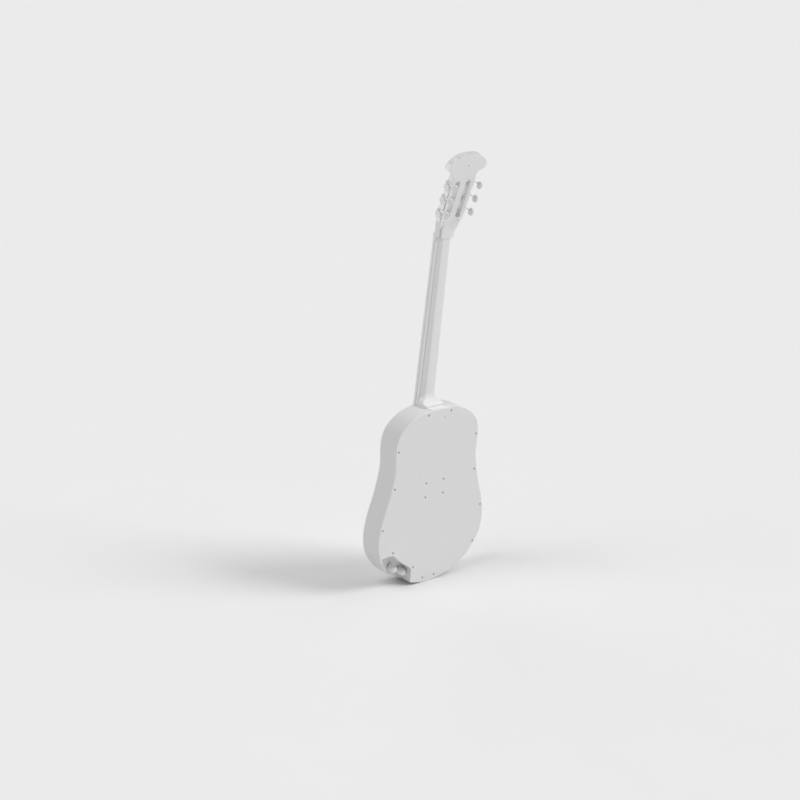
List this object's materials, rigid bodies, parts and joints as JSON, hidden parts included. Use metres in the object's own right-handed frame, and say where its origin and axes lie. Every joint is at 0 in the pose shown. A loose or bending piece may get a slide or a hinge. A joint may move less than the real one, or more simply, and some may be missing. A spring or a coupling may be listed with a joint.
{
  "type": "semi-acoustic guitar",
  "caption": "Slim-bodied semi-acoustic guitar with slotted headstock, geared side tuners, glued-in neck, screwed back plate and a rear corner recess holding two turning control knobs.",
  "frame": {"origin": "centre of the bounding box in X and Y, at the lowest point of the body (tail end)", "axes": "+Z along the guitar from tail to headstock, +Y out of the back, -Y out of the soundboard, +X towards the treble side"},
  "size_m": [0.3222, 0.1222, 1.0497],
  "materials": {
    "body_wood": "satin pale grey",
    "top_wood": "satin pale grey",
    "back_wood": "satin pale grey",
    "inner_wood": "unfinished",
    "neck_wood": "satin pale grey",
    "face_veneer": "satin",
    "laminate": "satin",
    "fretboard_wood": "satin",
    "bridge_wood": "satin",
    "screw_metal": "satin",
    "pot_metal": "satin",
    "jack_metal": "satin",
    "strap_button_metal": "satin",
    "rod_metal": "plain",
    "plate_metal": "bright",
    "post_metal": "bright",
    "string_metal": "plain",
    "pocket_plastic": "matte",
    "knob_plastic": "satin",
    "preamp_plastic": "matte",
    "battery_case": "satin",
    "bone": "satin",
    "pickup_film": "matte",
    "key_metal": "bright"
  },
  "bodies": {
    "guitar": {"body_rim": "body_wood", "top_plate": "top_wood", "back_plate": "back_wood", "back_screw_01": "screw_metal", "back_screw_02": "screw_metal", "back_screw_03": "screw_metal", "back_screw_04": "screw_metal", "back_screw_05": "screw_metal", "back_screw_06": "screw_metal", "back_screw_07": "screw_metal", "back_screw_08": "screw_metal", "back_screw_09": "screw_metal", "back_screw_10": "screw_metal", "neck_block": "inner_wood", "tail_block": "inner_wood", "centre_block": "inner_wood", "top_bracing": "inner_wood", "back_brace_upper": "inner_wood", "back_brace_lower": "inner_wood", "bridge_plate": "inner_wood", "bridge": "bridge_wood", "saddle_pickup": "pickup_film", "saddle": "bone", "control_pocket": "pocket_plastic", "volume_pot": "pot_metal", "tone_pot": "pot_metal", "preamp": "preamp_plastic", "battery": "battery_case", "output_jack": "jack_metal", "strap_button_tail": "strap_button_metal", "strap_button_upper": "strap_button_metal", "neck": "neck_wood", "headstock": "neck_wood", "head_faceplate": "face_veneer", "neck_laminate": "laminate", "truss_rod": "rod_metal", "fretboard": "fretboard_wood", "nut": "bone", "tuner_plate_treble": "plate_metal", "tuner_plate_bass": "plate_metal", "string_1": "string_metal", "string_2": "string_metal", "string_3": "string_metal", "string_4": "string_metal", "string_5": "string_metal", "string_6": "string_metal"},
    "volume_knob": {"volume_knob": "knob_plastic"},
    "tone_knob": {"tone_knob": "knob_plastic"},
    "tuner_key_3": {"tuner_key_3": "key_metal"},
    "string_post_3": {"string_post_3": "post_metal"},
    "tuner_key_2": {"tuner_key_2": "key_metal"},
    "string_post_2": {"string_post_2": "post_metal"},
    "tuner_key_1": {"tuner_key_1": "key_metal"},
    "string_post_1": {"string_post_1": "post_metal"},
    "tuner_key_4": {"tuner_key_4": "key_metal"},
    "string_post_4": {"string_post_4": "post_metal"},
    "tuner_key_5": {"tuner_key_5": "key_metal"},
    "string_post_5": {"string_post_5": "post_metal"},
    "tuner_key_6": {"tuner_key_6": "key_metal"},
    "string_post_6": {"string_post_6": "post_metal"}
  },
  "joints": [
    {"name": "volume_turn", "type": "hinge", "parent": "guitar", "child": "volume_knob", "pos_m": [0.0973, 0.00072, 0.0473], "axis": [0, 1, 0], "range_deg": [-150, 150]},
    {"name": "tone_turn", "type": "hinge", "parent": "guitar", "child": "tone_knob", "pos_m": [0.0681, 0.00072, 0.0325], "axis": [0, 1, 0], "range_deg": [-150, 150]},
    {"name": "key_3_turn", "type": "hinge", "parent": "guitar", "child": "tuner_key_3", "pos_m": [0.037, 0.03872, 0.97596], "axis": [0, 0.9507, -0.3102], "continuous": true},
    {"name": "post_3_turn", "type": "hinge", "parent": "guitar", "child": "string_post_3", "pos_m": [0.037, 0.02586, 0.96942], "axis": [1, 0, 0], "continuous": true},
    {"name": "key_2_turn", "type": "hinge", "parent": "guitar", "child": "tuner_key_2", "pos_m": [0.037, 0.02793, 0.94287], "axis": [0, 0.9507, -0.3102], "continuous": true},
    {"name": "post_2_turn", "type": "hinge", "parent": "guitar", "child": "string_post_2", "pos_m": [0.037, 0.01507, 0.93634], "axis": [1, 0, 0], "continuous": true},
    {"name": "key_1_turn", "type": "hinge", "parent": "guitar", "child": "tuner_key_1", "pos_m": [0.037, 0.0172, 0.90998], "axis": [0, 0.9507, -0.3102], "continuous": true},
    {"name": "post_1_turn", "type": "hinge", "parent": "guitar", "child": "string_post_1", "pos_m": [0.037, 0.00434, 0.90345], "axis": [1, 0, 0], "continuous": true},
    {"name": "key_4_turn", "type": "hinge", "parent": "guitar", "child": "tuner_key_4", "pos_m": [-0.037, 0.03872, 0.97596], "axis": [0, 0.9507, -0.3102], "continuous": true},
    {"name": "post_4_turn", "type": "hinge", "parent": "guitar", "child": "string_post_4", "pos_m": [-0.037, 0.02586, 0.96942], "axis": [1, 0, 0], "continuous": true},
    {"name": "key_5_turn", "type": "hinge", "parent": "guitar", "child": "tuner_key_5", "pos_m": [-0.037, 0.02793, 0.94287], "axis": [0, 0.9507, -0.3102], "continuous": true},
    {"name": "post_5_turn", "type": "hinge", "parent": "guitar", "child": "string_post_5", "pos_m": [-0.037, 0.01507, 0.93634], "axis": [1, 0, 0], "continuous": true},
    {"name": "key_6_turn", "type": "hinge", "parent": "guitar", "child": "tuner_key_6", "pos_m": [-0.037, 0.0172, 0.90998], "axis": [0, 0.9507, -0.3102], "continuous": true},
    {"name": "post_6_turn", "type": "hinge", "parent": "guitar", "child": "string_post_6", "pos_m": [-0.037, 0.00434, 0.90345], "axis": [1, 0, 0], "continuous": true}
  ],
  "couplings": [
    {"joint": "post_3_turn", "follows": "key_3_turn", "ratio": 0.071429},
    {"joint": "post_2_turn", "follows": "key_2_turn", "ratio": 0.071429},
    {"joint": "post_1_turn", "follows": "key_1_turn", "ratio": 0.071429},
    {"joint": "post_4_turn", "follows": "key_4_turn", "ratio": 0.071429},
    {"joint": "post_5_turn", "follows": "key_5_turn", "ratio": 0.071429},
    {"joint": "post_6_turn", "follows": "key_6_turn", "ratio": 0.071429}
  ]
}
